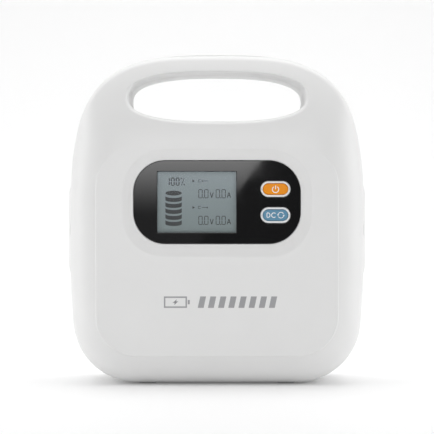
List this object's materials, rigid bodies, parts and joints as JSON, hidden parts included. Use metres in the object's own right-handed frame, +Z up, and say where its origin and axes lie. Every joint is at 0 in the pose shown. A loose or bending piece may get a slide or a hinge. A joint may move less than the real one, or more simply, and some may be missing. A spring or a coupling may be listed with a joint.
{
  "type": "power station",
  "caption": "Portable DC power station with a carrying handle in its case, a control panel with a display and push buttons, and port bays behind hinged side doors.",
  "frame": {"origin": "centre of the four feet on the surface that the station stands on", "axes": "+Z up, +X to the right of somebody who faces the control panel, -Y out of the control panel"},
  "size_m": [0.198, 0.088, 0.2179],
  "materials": {
    "case_white": "fine satin moulding",
    "panel_black": "polished, printed from behind",
    "window_clear": "clear acrylic",
    "lcd_grey": "reflective liquid crystal behind glass",
    "light_white": "translucent white",
    "button_orange": "satin, printed",
    "button_blue": "satin, printed",
    "bay_black": "fine textured moulding",
    "steel": "nickel plated",
    "cell_sleeve": "shrink sleeve",
    "board_green": "solder resist",
    "foot_rubber": "soft grey",
    "aluminium": "extruded",
    "lead_red": "silicone insulation",
    "lead_black": "silicone insulation",
    "ribbon_white": "flat flexible cable"
  },
  "bodies": {
    "case": {"car_socket_barrel": "steel", "car_socket_body": "bay_black", "car_socket_contact": "steel", "case_screw_1": "steel", "case_screw_2": "steel", "case_screw_3": "steel", "case_screw_4": "steel", "cell_group_1": "cell_sleeve", "cell_group_2": "cell_sleeve", "cell_group_3": "cell_sleeve", "cell_group_4": "cell_sleeve", "cell_group_5": "cell_sleeve", "cell_group_6": "cell_sleeve", "cell_group_7": "cell_sleeve", "cell_holder_front": "bay_black", "cell_holder_rear": "bay_black", "control_board": "board_green", "dc_button_ring": "light_white", "dc_input_jack": "bay_black", "dc_output_jack_1": "bay_black", "dc_output_jack_2": "bay_black", "dc_switch": "bay_black", "display_ribbon": "ribbon_white", "display_window": "window_clear", "fascia_panel": "panel_black", "foot_1": "foot_rubber", "foot_2": "foot_rubber", "foot_3": "foot_rubber", "foot_4": "foot_rubber", "front_shell": "case_white", "heat_sink": "aluminium", "input_door_pin": "steel", "input_port_board": "board_green", "input_port_plate": "bay_black", "lcd_backlight": "light_white", "lcd_frame": "bay_black", "lcd_glass": "lcd_grey", "main_board": "board_green", "output_door_pin": "steel", "output_port_board": "board_green", "output_port_plate": "bay_black", "pack_board": "board_green", "pack_lead_negative": "lead_black", "pack_lead_positive": "lead_red", "power_button_ring": "light_white", "power_switch": "bay_black", "rear_shell": "case_white", "usb_a_port_1": "steel", "usb_a_port_2": "steel", "usb_c_port": "steel"},
    "output_door": {"output_door": "case_white"},
    "input_door": {"input_door": "case_white"},
    "power_button": {"power_button": "button_orange", "power_switch_plunger": "bay_black"},
    "dc_button": {"dc_button": "button_blue", "dc_switch_plunger": "bay_black"}
  },
  "joints": [
    {"name": "output_door_hinge", "type": "hinge", "parent": "case", "child": "output_door", "pos_m": [0.0953, 0.02, 0.102], "axis": [0, 0, 1], "range_deg": [0, 100]},
    {"name": "input_door_hinge", "type": "hinge", "parent": "case", "child": "input_door", "pos_m": [-0.0953, 0.02, 0.102], "axis": [0, 0, -1], "range_deg": [0, 100]},
    {"name": "power_button_press", "type": "slide", "parent": "case", "child": "power_button", "axis": [0, 1, 0], "range_m": [0, 0.0006], "stiffness_N_per_m": 2500},
    {"name": "dc_button_press", "type": "slide", "parent": "case", "child": "dc_button", "axis": [0, 1, 0], "range_m": [0, 0.0006], "stiffness_N_per_m": 2500}
  ]
}
